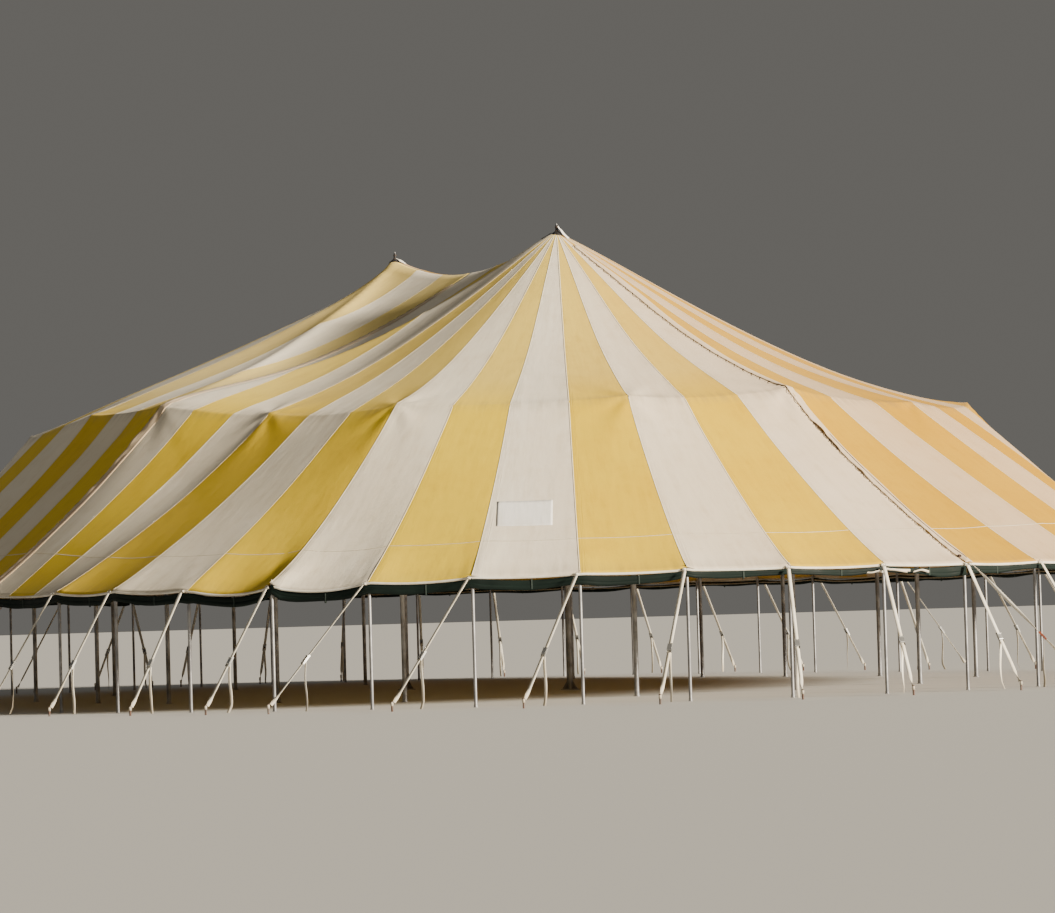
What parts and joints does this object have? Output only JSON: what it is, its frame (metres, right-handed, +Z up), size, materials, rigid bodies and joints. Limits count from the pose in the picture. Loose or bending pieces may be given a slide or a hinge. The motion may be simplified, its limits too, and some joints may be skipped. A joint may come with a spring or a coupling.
{
  "type": "pole marquee tent",
  "caption": "Round-ended pole marquee with two peaks, a ring of quarter poles, striped laced canopy, open sides with a rolled wall, side poles and webbing guys on stakes.",
  "frame": {"origin": "on the ground, under the middle of the ridge", "axes": "+Z up, +X along the ridge towards the front end, -Y to the left"},
  "size_m": [33.6426, 27.5524, 9.9103],
  "materials": {
    "canopy_canvas": "matt white and yellow striped canvas, sun-lit and slightly soiled",
    "wall_canvas": "dark green rolled wall canvas",
    "lace_line": "cream canvas flap with rope lacing",
    "webbing": "cream webbing straps, with steel ratchets and stakes",
    "side_pole_steel": "dull grey steel tube",
    "pole_steel": "dull grey steel tube",
    "cap_leather": "dark weathered cap"
  },
  "bodies": {
    "root": {"canopy_back_left": "canopy_canvas", "canopy_back_right": "canopy_canvas", "canopy_front_left": "canopy_canvas", "canopy_front_right": "canopy_canvas", "centre_pole_back": "pole_steel", "centre_pole_front": "pole_steel", "guys_back_left": "webbing", "guys_back_right": "webbing", "guys_front_left": "webbing", "guys_front_right": "webbing", "lace_back": "lace_line", "lace_front": "lace_line", "lace_left": "lace_line", "lace_right": "lace_line", "peak_cap_back": "cap_leather", "peak_cap_front": "cap_leather", "quarter_pole_back_apex": "pole_steel", "quarter_pole_back_left_1": "pole_steel", "quarter_pole_back_left_2": "pole_steel", "quarter_pole_back_left_3": "pole_steel", "quarter_pole_back_right_1": "pole_steel", "quarter_pole_back_right_2": "pole_steel", "quarter_pole_back_right_3": "pole_steel", "quarter_pole_front_apex": "pole_steel", "quarter_pole_front_left_1": "pole_steel", "quarter_pole_front_left_2": "pole_steel", "quarter_pole_front_left_3": "pole_steel", "quarter_pole_front_right_1": "pole_steel", "quarter_pole_front_right_2": "pole_steel", "quarter_pole_front_right_3": "pole_steel", "quarter_pole_left_middle": "pole_steel", "quarter_pole_right_middle": "pole_steel", "rolled_wall_back_left": "wall_canvas", "rolled_wall_back_right": "wall_canvas", "rolled_wall_front_left": "wall_canvas", "rolled_wall_front_right": "wall_canvas", "side_poles_back_left": "side_pole_steel", "side_poles_back_right": "side_pole_steel", "side_poles_front_left": "side_pole_steel", "side_poles_front_right": "side_pole_steel"}
  },
  "joints": []
}
